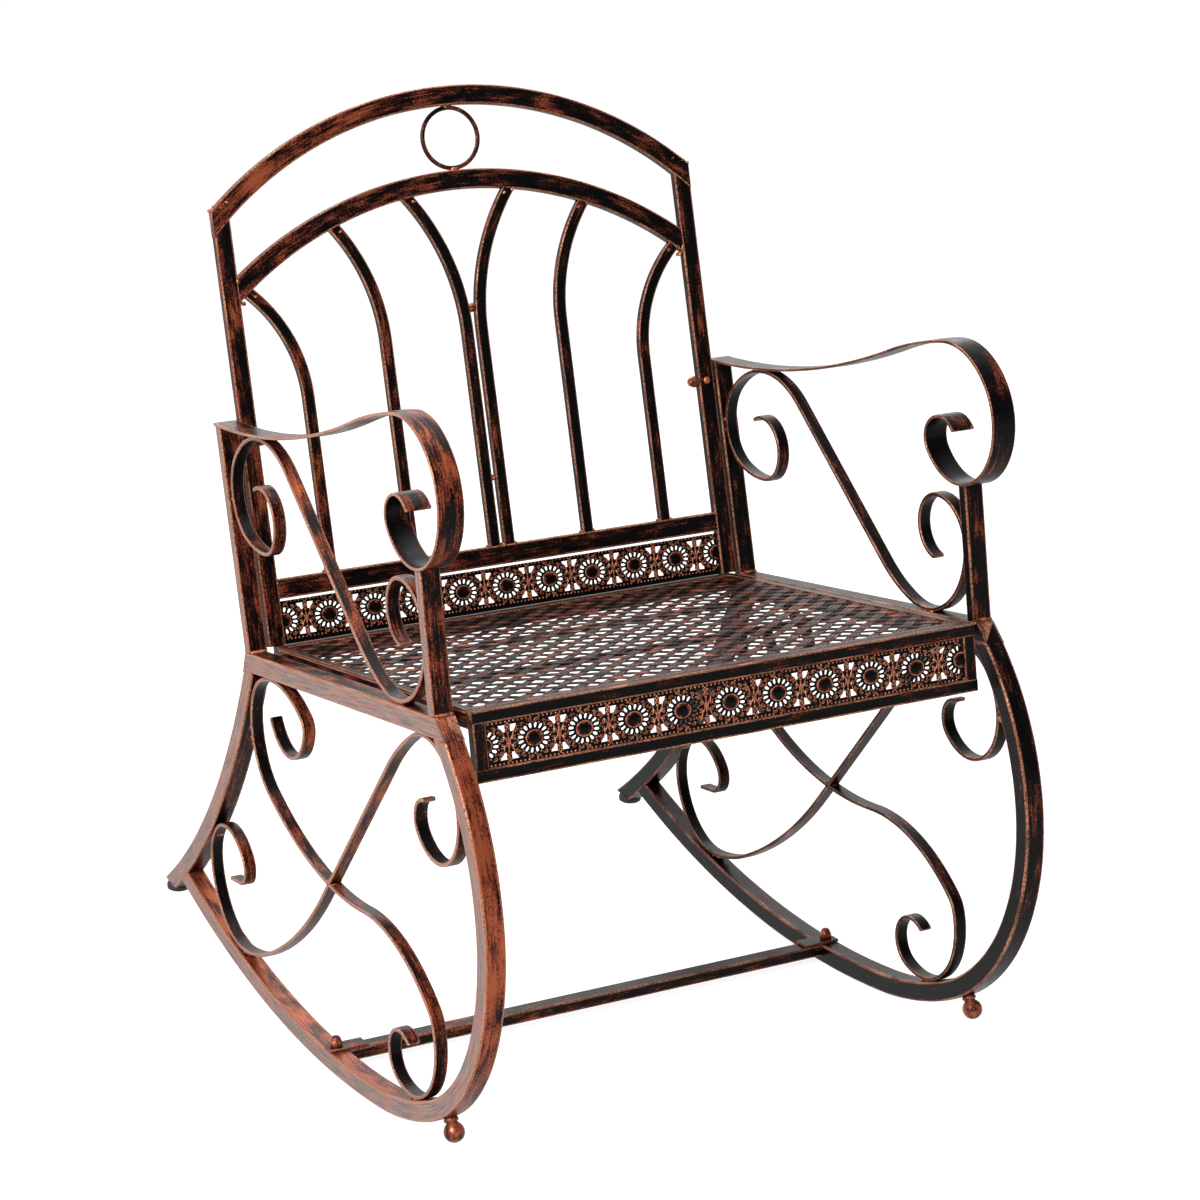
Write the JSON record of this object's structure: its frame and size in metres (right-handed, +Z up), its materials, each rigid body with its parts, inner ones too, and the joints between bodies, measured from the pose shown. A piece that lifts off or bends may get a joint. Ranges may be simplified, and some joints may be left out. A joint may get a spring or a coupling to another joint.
{
  "type": "rocking chair",
  "caption": "Metal porch rocking chair with scrolled side frames, arched barred back, pierced daisy strips and a punched seat.",
  "frame": {"origin": "on the floor below the middle of the chair's bounding box, with the chair standing balanced on its runners", "axes": "+X to the sitter's left as seen from the front (viewer's right), +Y to the rear, +Z up"},
  "size_m": [0.586, 0.8545, 0.9217],
  "materials": {
    "antique_bronze": "near-black paint with copper rubbed through on faces and edges, satin",
    "rubbed_copper": "brighter copper highlights over dark paint, glossy",
    "pierced_copper": "stamped thin sheet, dark in the recesses and copper on the raised edges",
    "punched_sheet": "dark embossed and punched sheet with copper on its high spots, semi-gloss",
    "black_glide": "black disc glide"
  },
  "bodies": {
    "root": {"side_rail_left": "antique_bronze", "side_rail_right": "antique_bronze", "rocker_left": "antique_bronze", "rocker_right": "antique_bronze", "rear_leg_left": "antique_bronze", "rear_leg_right": "antique_bronze", "front_arm_post_left": "antique_bronze", "front_arm_post_right": "antique_bronze", "rear_arm_post_left": "antique_bronze", "rear_arm_post_right": "antique_bronze", "armrest_left": "antique_bronze", "armrest_right": "antique_bronze", "arm_scroll_left": "antique_bronze", "arm_scroll_right": "antique_bronze", "long_scroll_left": "antique_bronze", "long_scroll_right": "antique_bronze", "cross_scroll_left": "antique_bronze", "cross_scroll_right": "antique_bronze", "ball_foot_left": "rubbed_copper", "ball_foot_right": "rubbed_copper", "rear_foot_left": "black_glide", "rear_foot_right": "black_glide", "back_upright_left": "antique_bronze", "back_upright_right": "antique_bronze", "back_outer_arch": "antique_bronze", "back_inner_arch": "antique_bronze", "back_ring": "rubbed_copper", "back_bar_1": "antique_bronze", "back_bar_2": "antique_bronze", "back_bar_3": "antique_bronze", "back_bar_4": "antique_bronze", "back_bar_5": "antique_bronze", "back_bar_6": "antique_bronze", "back_lower_rail": "antique_bronze", "back_fretwork": "pierced_copper", "seat_side_bar_left": "antique_bronze", "seat_side_bar_right": "antique_bronze", "seat_rear_bar": "antique_bronze", "seat_cross_bars": "antique_bronze", "seat_sheet": "punched_sheet", "apron_frame": "antique_bronze", "apron_fretwork": "pierced_copper", "stretcher": "antique_bronze", "stretcher_tabs": "antique_bronze", "stretcher_bolts": "rubbed_copper", "seat_bolts": "rubbed_copper", "seat_spacers": "antique_bronze", "back_bolts": "rubbed_copper", "back_spacers": "antique_bronze"}
  },
  "joints": []
}
